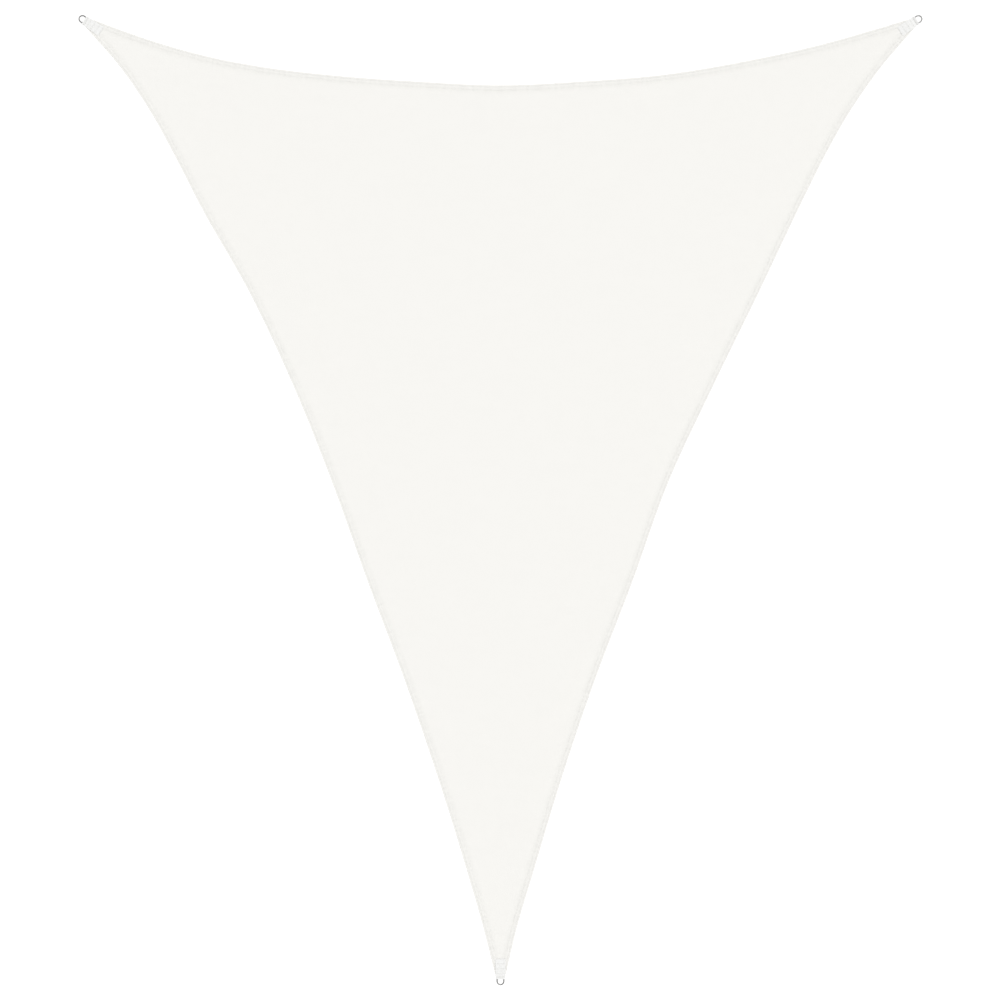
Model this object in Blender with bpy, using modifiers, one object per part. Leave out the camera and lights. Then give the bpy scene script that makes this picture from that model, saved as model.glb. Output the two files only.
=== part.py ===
"""A triangular shade sail lying flat and face up, with a D-ring on a webbing loop at each corner.

Metres, +Z up. The origin is on the surface that the sail lies on, at the middle of its bounding box.
+X runs along the short top side and -Y points at the long bottom corner.
"""

import math

import bmesh
import bpy
import numpy as np
from mathutils import Matrix, Vector

# Clearance between pieces that touch
GAP = 0.0003

# The three corners. x and y are the centre of the ring's round bow, pull is the direction in which
# the corner is pulled, in degrees from +X, and tip is how far the cloth starts behind the ring's bar.
#            name      x        y       pull   tip    tip_half_width
CORNERS = {
    "left": (-1.9795, 2.2783, 146.0, 0.0248, 0.0245),
    "right": (1.9795, 2.2783, 34.0, 0.0248, 0.0245),
    "bottom": (0.0, -2.2783, 270.0, 0.0126, 0.0240),
}

# The three sides, each from one corner's tip to another's, with its column in the table of dips and
# whether that column's places run the same way
SIDES = (
    # first, second, column, same_way
    ("left", "bottom", 1, True),
    ("bottom", "right", 2, False),
    ("right", "left", 3, False),
)

# How far each side dips inside the straight line between its two tips, at places along it. The cut
# is a shallow curve, a little uneven from the pull of the hem. A place is a share of the way from the
# left corner to the bottom one, from the right corner to the bottom one, and from left to right.
DIPS = (
    # place, left_dip, right_dip, top_dip
    (0.00, 0.000, 0.000, 0.000),
    (0.05, 0.076, 0.074, 0.071),
    (0.10, 0.122, 0.124, 0.133),
    (0.15, 0.145, 0.150, 0.183),
    (0.20, 0.161, 0.163, 0.220),
    (0.30, 0.213, 0.181, 0.267),
    (0.40, 0.228, 0.204, 0.295),
    (0.50, 0.215, 0.217, 0.312),
    (0.60, 0.184, 0.187, 0.294),
    (0.70, 0.160, 0.166, 0.262),
    (0.80, 0.122, 0.127, 0.198),
    (0.90, 0.070, 0.071, 0.112),
    (0.95, 0.039, 0.042, 0.057),
    (1.00, 0.000, 0.000, 0.000),
)
SIDE_STEPS = 44

# The cloth and its hem
CLOTH_THICKNESS = 0.0012
HEM_THICKNESS = 0.0030
HEM_WIDTH = 0.0260
HEM_SLOPE = 0.0040
FOLD_ROUND = 0.0012
FOLD_DROP = 0.0009

# The webbing
WEBBING_THICKNESS = 0.0015
WEBBING_REACH = 0.095
# Half the webbing's width, at distances behind the bar: it is squeezed where it passes the ring
WEBBING_HALF_WIDTHS = (
    # behind, half_width
    (0.0035, 0.0120),
    (0.0055, 0.0205),
    (0.0120, 0.0235),
    (0.0200, 0.0240),
)
# How far behind the bar the upper leg has come down onto the cloth
UPPER_LEG_DROP = 0.0110
LEG_STEPS = 8
LOOP_STEPS = 13

# The ring
WIRE_RADIUS = 0.00275
BOW_RADIUS = 0.0160
ARM_LENGTH = 0.0130
BEND_RADIUS = 0.0040
BOW_STEPS = 25
BEND_STEPS = 4
# Turns the wire's facets so that one of them faces the middle of the ring
WIRE_TURN = math.radians(15.0)

# Worked out from the above: the bar's height in the webbing's fold, and the ring's lean that lets
# its bow down on the surface
LOOP_RADIUS = WIRE_RADIUS + GAP + WEBBING_THICKNESS / 2
BAR_HEIGHT = LOOP_RADIUS + WEBBING_THICKNESS / 2
RING_LEAN = math.atan2(BAR_HEIGHT - WIRE_RADIUS, ARM_LENGTH + BOW_RADIUS)

# The cloth's corner lies on the webbing's lower leg, and comes down to the surface past its end
CORNER_LIFT = WEBBING_THICKNESS + GAP
RAMP_START = WEBBING_REACH + 0.006
RAMP_END = RAMP_START + 0.045
UPPER_LEG_HEIGHT = CORNER_LIFT + HEM_THICKNESS + GAP + WEBBING_THICKNESS / 2

# colour, roughness, metallic
CLOTH_FINISH = ((0.930, 0.921, 0.888, 1.0), 0.80, 0.0)
WEBBING_FINISH = ((0.845, 0.845, 0.830, 1.0), 0.75, 0.0)
STEEL_FINISH = ((0.560, 0.560, 0.550, 1.0), 0.28, 1.0)


def clear_scene():
    for obj in list(bpy.data.objects):
        bpy.data.objects.remove(obj, do_unlink=True)


def make_material(name, colour, roughness, metallic):
    material = bpy.data.materials.new(name)
    material.use_nodes = True
    shader = material.node_tree.nodes["Principled BSDF"]
    shader.inputs["Base Color"].default_value = colour
    shader.inputs["Roughness"].default_value = roughness
    shader.inputs["Metallic"].default_value = metallic
    return material


def add_object(name, data, collection, finish, parent=None):
    obj = bpy.data.objects.new(name, data)
    collection.objects.link(obj)
    obj.parent = parent
    data.materials.append(make_material(name, *finish))
    return obj


def bow_centre(corner):
    """The centre of the round bow of the corner's ring, seen from above."""
    x, y = CORNERS[corner][:2]
    return Vector((x, y, 0.0))


def outward(corner):
    """The direction in which the corner is pulled."""
    pull = math.radians(CORNERS[corner][2])
    return Vector((math.cos(pull), math.sin(pull), 0.0))


def bar_place(corner):
    """The middle of the corner's ring bar, seen from above."""
    return bow_centre(corner) - outward(corner) * ARM_LENGTH


def tip_point(corner, side):
    """One end of the cloth's blunt tip, seen from the ring: side is +1 for the left end, -1 for the right."""
    tip, half_width = CORNERS[corner][3:]
    along = outward(corner)
    across = Vector((-along.y, along.x, 0.0))
    return bar_place(corner) - along * tip - across * half_width * side


def smooth_through(places, values, at):
    """Values read at a place from a smooth curve through the stated ones."""
    places, values = np.array(places), np.array(values)
    slopes = np.gradient(values, places)
    k = int(np.clip(np.searchsorted(places, at, side="right") - 1, 0, len(places) - 2))
    span = places[k + 1] - places[k]
    t = (at - places[k]) / span
    start = (1 + 2 * t) * (1 - t) ** 2 * values[k] + t * (1 - t) ** 2 * span * slopes[k]
    end = t * t * (3 - 2 * t) * values[k + 1] - t * t * (1 - t) * span * slopes[k + 1]
    return float(start + end)


def sail_outline():
    """The cloth's outline, anticlockwise from above: three curved sides and three blunt tips."""
    table = np.array(DIPS)
    points = []
    for first, second, column, same_way in SIDES:
        start, end = tip_point(first, -1), tip_point(second, 1)
        inward = Vector((start.y - end.y, end.x - start.x, 0.0)).normalized()
        for step in range(SIDE_STEPS + 1):
            share = step / SIDE_STEPS
            place = share if same_way else 1 - share
            dip = smooth_through(table[:, 0], table[:, column], place)
            points.append(start.lerp(end, share) + inward * dip)
    return points


def flat_outline(points, thickness, height):
    """A flat plate with the given outline, as a mesh with one face above and one below."""
    curve = bpy.data.curves.new("outline", "CURVE")
    curve.dimensions = "2D"
    curve.fill_mode = "BOTH"
    curve.extrude = thickness / 2
    spline = curve.splines.new("POLY")
    spline.points.add(len(points) - 1)
    for knot, point in zip(spline.points, points):
        knot.co = (point.x, point.y, 0.0, 1.0)
    spline.use_cyclic_u = True
    holder = bpy.data.objects.new("outline", curve)
    bpy.context.scene.collection.objects.link(holder)
    graph = bpy.context.evaluated_depsgraph_get()
    mesh = bpy.data.meshes.new_from_object(holder.evaluated_get(graph))
    bpy.data.objects.remove(holder, do_unlink=True)
    bpy.data.curves.remove(curve)
    plate = bmesh.new()
    plate.from_mesh(mesh)
    bmesh.ops.remove_doubles(plate, verts=plate.verts, dist=0.00001)
    for up in (1, -1):
        cap = [f for f in plate.faces if f.normal.z * up > 0.5]
        bmesh.ops.dissolve_faces(plate, faces=cap, use_verts=False)
    bmesh.ops.translate(plate, verts=plate.verts, vec=(0.0, 0.0, height))
    return plate, mesh


def cloth_face(plate, up):
    """The plate's one flat face on top, or underneath."""
    return max((f for f in plate.faces if f.normal.z * up > 0.5), key=lambda f: f.calc_area())


def inset(plate, face, width, rise):
    """Draws the face in from its edge by a width, and moves it out of the plate by a rise."""
    bmesh.ops.inset_region(
        plate, faces=[face], thickness=width, depth=rise, use_even_offset=True, use_boundary=True
    )


def lift_corners(plate):
    """Raises the cloth's three corners on the webbing, with a straight ramp down to the surface."""
    for corner in CORNERS:
        along, bar = outward(corner), bar_place(corner)
        for behind in (RAMP_START, RAMP_END):
            geometry = plate.verts[:] + plate.edges[:] + plate.faces[:]
            bmesh.ops.bisect_plane(
                plate, geom=geometry, dist=0.000001, plane_co=bar - along * behind, plane_no=along
            )
    for vert in plate.verts:
        for corner in CORNERS:
            behind = (bar_place(corner) - vert.co).dot(outward(corner))
            share = (RAMP_END - behind) / (RAMP_END - RAMP_START)
            vert.co.z += CORNER_LIFT * min(max(share, 0.0), 1.0)


def make_sail(collection):
    """The cloth, with its hem turned over all round as a raised band with rounded folds."""
    wall = HEM_THICKNESS - 2 * FOLD_DROP
    plate, mesh = flat_outline(sail_outline(), wall, HEM_THICKNESS / 2)
    inset(plate, cloth_face(plate, -1), FOLD_ROUND, FOLD_DROP)
    inset(plate, cloth_face(plate, 1), FOLD_ROUND, FOLD_DROP)
    inset(plate, cloth_face(plate, 1), HEM_WIDTH - FOLD_ROUND - HEM_SLOPE, 0.0)
    inset(plate, cloth_face(plate, 1), HEM_SLOPE, CLOTH_THICKNESS - HEM_THICKNESS)
    lift_corners(plate)
    plate.to_mesh(mesh)
    plate.free()
    add_object("sail", mesh, collection, CLOTH_FINISH)


def webbing_half_width(behind):
    """Half the webbing's width at a distance behind the bar."""
    table = np.array(WEBBING_HALF_WIDTHS)
    return float(np.interp(behind, table[:, 0], table[:, 1]))


def webbing_path():
    """The middle of the webbing seen from the side: lower leg, fold round the bar, upper leg.

    Each entry is the distance behind the bar and the height.
    """
    lower = WEBBING_THICKNESS / 2
    leg = np.linspace(WEBBING_REACH, WEBBING_HALF_WIDTHS[-1][0], LEG_STEPS)
    squeeze = [behind for behind, _ in reversed(WEBBING_HALF_WIDTHS[:-1])]
    drop = BAR_HEIGHT + LOOP_RADIUS - UPPER_LEG_HEIGHT
    past_top = math.atan2(drop, UPPER_LEG_DROP)
    path = [(behind, lower) for behind in [*leg, *squeeze]]
    for turn in np.linspace(-0.5 * math.pi, -1.5 * math.pi - past_top, LOOP_STEPS + 1):
        path.append((LOOP_RADIUS * math.cos(turn), BAR_HEIGHT + LOOP_RADIUS * math.sin(turn)))
    for behind in [*reversed(squeeze), *reversed(leg)]:
        left_to_drop = max(1 - behind / UPPER_LEG_DROP, 0.0)
        path.append((behind, UPPER_LEG_HEIGHT + drop * left_to_drop))
    return path


def make_webbing(name, collection, parent):
    """A ribbon of changing width along the path, thickened to the webbing's thickness."""
    ribbon = bmesh.new()
    rows = []
    for behind, height in webbing_path():
        half = webbing_half_width(behind)
        rows.append([ribbon.verts.new((-behind, side * half, height)) for side in (-1, 1)])
    for (a, b), (c, d) in zip(rows, rows[1:]):
        ribbon.faces.new((a, b, d, c))
    mesh = bpy.data.meshes.new(name)
    ribbon.to_mesh(mesh)
    ribbon.free()
    webbing = add_object(name, mesh, collection, WEBBING_FINISH, parent)
    solid = webbing.modifiers.new("thickness", "SOLIDIFY")
    solid.thickness = WEBBING_THICKNESS
    solid.offset = 0.0
    solid.use_even_offset = True
    return webbing


def ring_path():
    """The middle of the ring's wire, round from one end of the bar: bow, arms and bent corners."""
    path = []
    for turn in np.radians(np.linspace(-90.0, 90.0, BOW_STEPS + 1)):
        path.append((ARM_LENGTH + BOW_RADIUS * math.cos(turn), BOW_RADIUS * math.sin(turn)))
    for side, first in ((1, 90.0), (-1, 180.0)):
        middle = BEND_RADIUS, side * (BOW_RADIUS - BEND_RADIUS)
        for turn in np.radians(np.linspace(first, first + 90.0, BEND_STEPS + 1)):
            path.append(
                (middle[0] + BEND_RADIUS * math.cos(turn), middle[1] + BEND_RADIUS * math.sin(turn))
            )
    return path


def make_ring(name, collection, parent):
    """The D-ring, its bar at its origin and its bow towards +X, leaning down onto the surface."""
    curve = bpy.data.curves.new(name, "CURVE")
    curve.dimensions = "3D"
    curve.bevel_depth = WIRE_RADIUS
    curve.bevel_resolution = 4
    spline = curve.splines.new("POLY")
    path = ring_path()
    spline.points.add(len(path) - 1)
    for knot, (x, y) in zip(spline.points, path):
        knot.co = (x, y, 0.0, 1.0)
        knot.tilt = WIRE_TURN
    spline.use_cyclic_u = True
    ring = add_object(name, curve, collection, STEEL_FINISH, parent)
    ring.location = (0.0, 0.0, BAR_HEIGHT)
    ring.rotation_euler = (0.0, RING_LEAN, 0.0)
    return ring


def make_corner(corner, collection):
    """A ring and its webbing, hung from an empty at the ring's bar, +X along the pull."""
    place = bpy.data.objects.new(f"corner_{corner}", None)
    collection.objects.link(place)
    turn = Matrix.Rotation(math.radians(CORNERS[corner][2]), 4, "Z")
    place.matrix_world = Matrix.Translation(bar_place(corner)) @ turn
    make_webbing(f"webbing_{corner}", collection, place)
    make_ring(f"ring_{corner}", collection, place)


def main():
    clear_scene()
    collection = bpy.data.collections.new("shade_sail")
    bpy.context.scene.collection.children.link(collection)
    make_sail(collection)
    for corner in CORNERS:
        make_corner(corner, collection)


main()
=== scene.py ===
"""The looks of a triangular shade sail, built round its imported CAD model.

The sail lies flat and face up on a pale floor. Metres, +Z up, in the CAD model's frame: +X runs along
the short top side and -Y points at the long bottom corner. The camera looks straight down.
"""

import math

import bmesh
import bpy
import numpy as np
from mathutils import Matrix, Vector
from mathutils.geometry import delaunay_2d_cdt


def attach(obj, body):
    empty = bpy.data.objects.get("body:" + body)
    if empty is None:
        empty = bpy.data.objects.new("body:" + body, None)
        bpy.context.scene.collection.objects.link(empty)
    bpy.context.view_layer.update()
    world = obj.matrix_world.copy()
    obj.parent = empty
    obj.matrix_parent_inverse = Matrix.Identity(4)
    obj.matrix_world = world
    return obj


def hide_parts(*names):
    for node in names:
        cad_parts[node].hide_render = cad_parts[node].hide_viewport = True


# ---------------------------------------------------------------- the sail's shape, as in the CAD model

# x and y of the centre of the ring's bow, pull direction in degrees from +X, and how far the cloth's
# blunt tip lies behind the ring's bar, with half its width
CORNERS = {
    "left": (-1.9795, 2.2783, 146.0, 0.0248, 0.0245),
    "right": (1.9795, 2.2783, 34.0, 0.0248, 0.0245),
    "bottom": (0.0, -2.2783, 270.0, 0.0126, 0.0240),
}

# Each side runs anticlockwise from one corner to another, with its column in the table of dips
SIDES = (
    # first, second, column, same_way
    ("left", "bottom", 1, True),
    ("bottom", "right", 2, False),
    ("right", "left", 3, False),
)

# How far each side dips inside the straight line between its tips
DIPS = np.array(
    (
        # place, left_dip, right_dip, top_dip
        (0.00, 0.000, 0.000, 0.000),
        (0.05, 0.076, 0.074, 0.071),
        (0.10, 0.122, 0.124, 0.133),
        (0.15, 0.145, 0.150, 0.183),
        (0.20, 0.161, 0.163, 0.220),
        (0.30, 0.213, 0.181, 0.267),
        (0.40, 0.228, 0.204, 0.295),
        (0.50, 0.215, 0.217, 0.312),
        (0.60, 0.184, 0.187, 0.294),
        (0.70, 0.160, 0.166, 0.262),
        (0.80, 0.122, 0.127, 0.198),
        (0.90, 0.070, 0.071, 0.112),
        (0.95, 0.039, 0.042, 0.057),
        (1.00, 0.000, 0.000, 0.000),
    )
)

GAP = 0.0003
CLOTH_THICKNESS = 0.0012
HEM_THICKNESS = 0.0030
HEM_WIDTH = 0.0260
WEBBING_THICKNESS = 0.0015
WEBBING_REACH = 0.095
WIRE_RADIUS = 0.00275
BOW_RADIUS = 0.0160
ARM_LENGTH = 0.0130
BEND_RADIUS = 0.0040
WEBBING_HALF_WIDTHS = np.array(
    (
        # behind, half_width
        (0.0035, 0.0120),
        (0.0055, 0.0205),
        (0.0120, 0.0235),
        (0.0200, 0.0240),
    )
)

LOOP_RADIUS = WIRE_RADIUS + GAP + WEBBING_THICKNESS / 2
BAR_HEIGHT = LOOP_RADIUS + WEBBING_THICKNESS / 2
RING_LEAN = math.atan2(BAR_HEIGHT - WIRE_RADIUS, ARM_LENGTH + BOW_RADIUS)
CORNER_LIFT = WEBBING_THICKNESS + GAP
# The cloth comes down to the surface on a ramp that starts a little past the webbing
RAMP_MARGIN = 0.006
RAMP_LENGTH = 0.045
RAMP_START = WEBBING_REACH + RAMP_MARGIN
RAMP_END = RAMP_START + RAMP_LENGTH
UPPER_LEG_HEIGHT = CORNER_LIFT + HEM_THICKNESS + GAP + WEBBING_THICKNESS / 2

# ---------------------------------------------------------------- what only the render shows

# The hem from the underside, round the folded edge, over the band and down its inner fold to the
# cloth. Two rows of sewing draw it in.
HEM_PROFILE = (
    # inside, height
    (0.0016, 0.00000),
    (0.0007, 0.00012),
    (0.0001, 0.00050),
    (0.0000, 0.00095),
    (0.0003, 0.00145),
    (0.0010, 0.00185),
    (0.0024, 0.00228),
    (0.0048, 0.00262),
    (0.0070, 0.00256),
    (0.0084, 0.00230),
    (0.0095, 0.00212),
    (0.0106, 0.00232),
    (0.0124, 0.00274),
    (0.0146, 0.00297),
    (0.0172, 0.00282),
    (0.0195, 0.00242),
    (0.0212, 0.00206),
    (0.0228, 0.00188),
    (0.0244, 0.00187),
    (0.0255, 0.00179),
    (0.0260, 0.00161),
    (0.0261, 0.00142),
    (0.0261, 0.00128),
    (0.0267, 0.00118),
    (0.0280, 0.00120),
)
SIDE_SPACING = 0.0120
TIP_STEPS = 4
# Rows of points in the cloth beyond the hem, and the spacing of those in the open field
NEAR_ROWS = (0.034, 0.044, 0.058)
FIELD_SPACING = 0.060
FIELD_START = 0.085
# How much nearer to a side than its row a point may lie, and how near two points would be one
ROW_MARGIN = 0.0005
SAME_POINT = 1e-7

# The sewing pulls the edge in, which leaves small waves across it. They fade out in the cloth beyond
# the hem.
PUCKER_WAVES = (
    # wavelength, share, phase
    (0.071, 0.40, 0.3),
    (0.094, 0.35, 1.9),
    (0.163, 0.25, 4.1),
)
HEM_PUCKER = 0.00022
CLOTH_PUCKER = 0.00055
PUCKER_END = 0.075
# They grow from nothing over this length past the ramp
CALM_LENGTH = 0.08

# Broad, low waves of the open cloth
FIELD_WAVES = (
    # along_x, along_y, phase
    (2.1, 9.3, 0.4),
    (3.7, -13.1, 1.7),
)
FIELD_WAVE = 0.00010

# Two rows of sewing along the hem: a straight one near the folded edge, a zigzag one at the inner fold
STITCH_PITCH = 0.0065
STRAIGHT_ROW = 0.0095
ZIGZAG_ROW = 0.0228
ZIGZAG_HALF_WIDTH = 0.0024
THREAD_RADIUS = 0.00048
THREAD_SIDES = 5
THREAD_BOW = (-0.9, 0.70, 0.70, -0.9)
THREAD_PLACES = (0.02, 0.28, 0.72, 0.98)
# The hem's sewing stops this far from the webbing
SEWING_MARGIN = 0.002

# Knit, from centre to centre of its chains and of their loops
CHAIN_PITCH = 0.0034
LOOP_PITCH = 0.0042

# ---------------------------------------------------------------- the picture

PHOTO_SIZE = 1000
METRES_PER_PIXEL = 0.004736
# The photograph's middle, as a place on the sail
PHOTO_MIDDLE = (0.0, -0.0017)
CAMERA_HEIGHT = 12.0
SENSOR_WIDTH = 36.0


# ================================================================ plan of the sail


def outward(corner):
    """The direction in which a corner is pulled."""
    pull = math.radians(CORNERS[corner][2])
    return np.array((math.cos(pull), math.sin(pull)))


def sideways(corner):
    """The direction across a corner's webbing, to the left of its pull."""
    along = outward(corner)
    return np.array((-along[1], along[0]))


def bar_place(corner):
    """The middle of the corner's ring bar, seen from above."""
    return np.array(CORNERS[corner][:2]) - outward(corner) * ARM_LENGTH


def corner_place(corner, behind, across, height):
    """World points from a distance behind the ring's bar, a distance across and a height."""
    behind, across, height = np.broadcast_arrays(behind, across, height)
    plan = bar_place(corner) - behind[..., None] * outward(corner) + across[..., None] * sideways(corner)
    return np.concatenate((plan, height[..., None]), axis=-1)


def behind_bar(corner, plan):
    """How far points of the plan lie behind a corner's bar, and how far across."""
    offset = plan - bar_place(corner)
    return -offset @ outward(corner), offset @ sideways(corner)


def tip_point(corner, side):
    """One end of the cloth's blunt tip, as seen from the ring: 1 for its left end, -1 for its right."""
    tip, half_width = CORNERS[corner][3:]
    return bar_place(corner) - outward(corner) * tip - sideways(corner) * half_width * side


def smooth_step(low, high, values):
    """0 below low, 1 above high, and a smooth rise between."""
    share = np.clip((values - low) / (high - low), 0.0, 1.0)
    return share * share * (3 - 2 * share)


def smooth_through(places, values, at):
    """Values read at places from a smooth curve through the stated ones."""
    slopes = np.gradient(values, places)
    k = np.clip(np.searchsorted(places, at, side="right") - 1, 0, len(places) - 2)
    span = places[k + 1] - places[k]
    t = (at - places[k]) / span
    start = (1 + 2 * t) * (1 - t) ** 2 * values[k] + t * (1 - t) ** 2 * span * slopes[k]
    end = t * t * (3 - 2 * t) * values[k + 1] - t * t * (1 - t) * span * slopes[k + 1]
    return start + end


class Side:
    """One curved side of the cloth, read by the distance along it and the distance in from it."""

    SAMPLES = 3000
    # Distances are worked out in this many blocks, to save memory
    BLOCKS = 12

    def __init__(self, first, second, column, same_way):
        start, end = tip_point(first, -1), tip_point(second, 1)
        share = np.linspace(0.0, 1.0, self.SAMPLES)
        dip = smooth_through(DIPS[:, 0], DIPS[:, column], share if same_way else 1 - share)
        run = end - start
        inward = np.array((-run[1], run[0])) / np.hypot(*run)
        self.points = start + share[:, None] * run + dip[:, None] * inward
        steps = np.hypot(*np.diff(self.points, axis=0).T)
        self.along = np.concatenate(((0.0,), np.cumsum(steps)))
        self.length = float(self.along[-1])
        self.stitches = 2 * round(self.length / (2 * STITCH_PITCH))
        self.pitch = self.length / self.stitches
        ahead = np.gradient(self.points, self.along, axis=0)
        ahead /= np.hypot(*ahead.T)[:, None]
        self.inward = np.column_stack((-ahead[:, 1], ahead[:, 0]))
        self.trims = (
            self.mitre(ahead[0], tip_point(first, 1) - tip_point(first, -1)),
            self.mitre(-ahead[-1], tip_point(second, -1) - tip_point(second, 1)),
        )

    @staticmethod
    def mitre(leaving, blunt_edge):
        """How much shorter a line inside the side gets at one corner, for each metre that it lies in."""
        angle = math.acos(leaving @ blunt_edge / np.hypot(*blunt_edge))
        return 1 / math.tan(angle / 2)

    def at(self, along, inside):
        """Points of the plan at distances along the side and in from it."""
        read = lambda column: np.interp(along, self.along, column)
        edge = np.column_stack((read(self.points[:, 0]), read(self.points[:, 1])))
        inward = np.column_stack((read(self.inward[:, 0]), read(self.inward[:, 1])))
        return edge + inward * np.reshape(inside, (-1, 1))

    def count(self, along):
        """How many stitches places along the side lie from its nearer corner."""
        return np.minimum(along, self.length - along) / self.pitch

    def distance(self, plan):
        """How far points of the plan lie from the side."""
        nearest = np.full(len(plan), np.inf)
        for block in np.array_split(self.points, self.BLOCKS):
            gaps = np.hypot(*(plan[:, None, :] - block[None, :, :]).transpose(2, 0, 1))
            nearest = np.minimum(nearest, gaps.min(axis=1))
        return nearest


SAIL_SIDES = [Side(*entry) for entry in SIDES]


def from_edge(plan):
    """How far points of the plan lie from the nearest side."""
    return np.min([side.distance(plan) for side in SAIL_SIDES], axis=0)


def from_bars(plan):
    """How far points of the plan lie behind the bar that they are least far behind."""
    return np.min([behind_bar(corner, plan)[0] for corner in CORNERS], axis=0)


def sewing_waves(plan):
    """How strong the sewing's small waves are: 0 by the webbing, which holds the cloth, and 1 beyond."""
    return smooth_step(RAMP_END, RAMP_END + CALM_LENGTH, from_bars(plan))


def lift(plan):
    """How far the cloth is raised over the webbing's lower legs."""
    height = np.zeros(len(plan))
    for corner in CORNERS:
        behind, _ = behind_bar(corner, plan)
        height += CORNER_LIFT * (1 - smooth_step(RAMP_START, RAMP_END, behind))
    return height


def pucker(along):
    """The small waves along a side, from -1 to 1."""
    return sum(
        share * np.sin(2 * math.pi * along / wavelength + phase)
        for wavelength, share, phase in PUCKER_WAVES
    )


def under_webbing(plan):
    """Which points of the plan lie under a corner's webbing, or too near to it to be sewn."""
    hidden = np.zeros(len(plan), dtype=bool)
    half = WEBBING_HALF_WIDTHS[-1, 1] + SEWING_MARGIN
    for corner in CORNERS:
        behind, across = behind_bar(corner, plan)
        hidden |= (behind < WEBBING_REACH + SEWING_MARGIN) & (np.abs(across) < half)
    return hidden


# ================================================================ meshes


def link(name, mesh, material):
    """A new smooth-shaded object that shows a mesh."""
    mesh.materials.append(material)
    mesh.shade_smooth()
    obj = bpy.data.objects.new(name, mesh)
    bpy.context.scene.collection.objects.link(obj)
    return obj


def build_mesh(name, points, faces):
    """A mesh from points and faces."""
    mesh = bpy.data.meshes.new(name)
    mesh.from_pydata(np.asarray(points).tolist(), [], faces)
    return mesh


def loft(rows, columns, close_rows, close_columns):
    """Quads over a grid of points that are numbered row by row."""
    grid = np.arange(rows * columns).reshape(rows, columns)
    if close_rows:
        grid = np.vstack((grid, grid[:1]))
    if close_columns:
        grid = np.hstack((grid, grid[:, :1]))
    corners = (grid[:-1, :-1], grid[:-1, 1:], grid[1:, 1:], grid[1:, :-1])
    return np.stack([corner.ravel() for corner in corners], axis=1)


def face_corners(mesh):
    """The point that each face corner of a mesh stands on."""
    points = np.empty(len(mesh.loops), dtype=np.int32)
    mesh.loops.foreach_get("vertex_index", points)
    return points


def write_uv(mesh, name, by_corner):
    """A UV map from one pair of numbers for each face corner."""
    layer = mesh.uv_layers.new(name=name)
    layer.uv.foreach_set("vector", np.asarray(by_corner, dtype=np.float32).ravel())


# ================================================================ the cloth


def hem_loop(inside):
    """The plan of one line round the sail at a distance in from its edge.

    Gives its points, how far along its side each lies, its count of stitches, and the inward direction.
    """
    plan, along, count, inward = [], [], [], []
    for side in SAIL_SIDES:
        steps = round(side.length / SIDE_SPACING)
        stations = np.linspace(
            inside * side.trims[0], side.length - inside * side.trims[1], steps + 1
        )
        edge = side.at(stations, 0.0)
        line = side.at(stations, inside)
        plan.append(line)
        along.append(stations)
        count.append(side.count(stations))
        inward.append(side.at(stations, 1.0) - edge)
    share = np.linspace(0.0, 1.0, TIP_STEPS + 1)[1:-1, None]
    closed = [[], [], [], []]
    for k in range(len(plan)):
        after = (k + 1) % len(plan)
        tip_plan = plan[k][-1] * (1 - share) + plan[after][0] * share
        tip_inward = inward[k][-1] * (1 - share) + inward[after][0] * share
        tip_along = np.full(len(share), along[k][-1])
        tip_count = np.full(len(share), count[k][-1])
        on_side = (plan[k], along[k], count[k], inward[k])
        on_tip = (tip_plan, tip_along, tip_count, tip_inward)
        for column, side_values, tip_values in zip(closed, on_side, on_tip):
            column += [side_values, tip_values]
    return [np.concatenate(column) for column in closed]


def cloth_height(plan, along, inside, height):
    """Adds the lift over the webbing and the sewing's small waves to a height of the cloth's profile."""
    size = HEM_PUCKER if inside < HEM_WIDTH else CLOTH_PUCKER
    fade = 1 - smooth_step(HEM_WIDTH, PUCKER_END, np.float64(inside))
    raised = 1.0 if height > CLOTH_THICKNESS / 2 else 0.0
    return height + lift(plan) + raised * sewing_waves(plan) * fade * size * pucker(along)


def field_wave(plan):
    """Very low, broad unevenness of the open cloth."""
    x, y = plan.T
    return FIELD_WAVE * sum(np.sin(fx * x + fy * y + phase) for fx, fy, phase in FIELD_WAVES)


def field_points():
    """Points in the open cloth: rows beside the hem, then an even grid.

    Gives their plan, their height, and for the map "edge" their count of stitches and distance in.
    """
    plans, heights, edges = [], [], []
    for inside in NEAR_ROWS:
        for side in SAIL_SIDES:
            steps = round(side.length / (SIDE_SPACING * 2))
            stations = np.linspace(0.0, side.length, steps + 1)
            plan = side.at(stations, inside)
            clear = from_edge(plan) > inside - ROW_MARGIN
            clear &= from_bars(plan) > HEM_WIDTH + inside
            plans.append(plan[clear])
            heights.append(cloth_height(plan, stations, inside, CLOTH_THICKNESS)[clear])
            edges.append(np.column_stack((side.count(stations), np.full(len(stations), inside)))[clear])
    outline = hem_loop(0.0)[0]
    low, high = outline.min(axis=0), outline.max(axis=0)
    x, y = np.meshgrid(
        np.arange(low[0], high[0], FIELD_SPACING), np.arange(low[1], high[1], FIELD_SPACING)
    )
    grid = np.column_stack((x.ravel(), y.ravel()))
    grid = grid[inside_polygon(grid, hem_loop(FIELD_START / 2)[0])]
    grid = grid[from_edge(grid) > FIELD_START]
    plans.append(grid)
    heights.append(CLOTH_THICKNESS + lift(grid) + field_wave(grid))
    edges.append(np.tile((0.0, PUCKER_END), (len(grid), 1)))
    return np.vstack(plans), np.concatenate(heights), np.vstack(edges)


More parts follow.
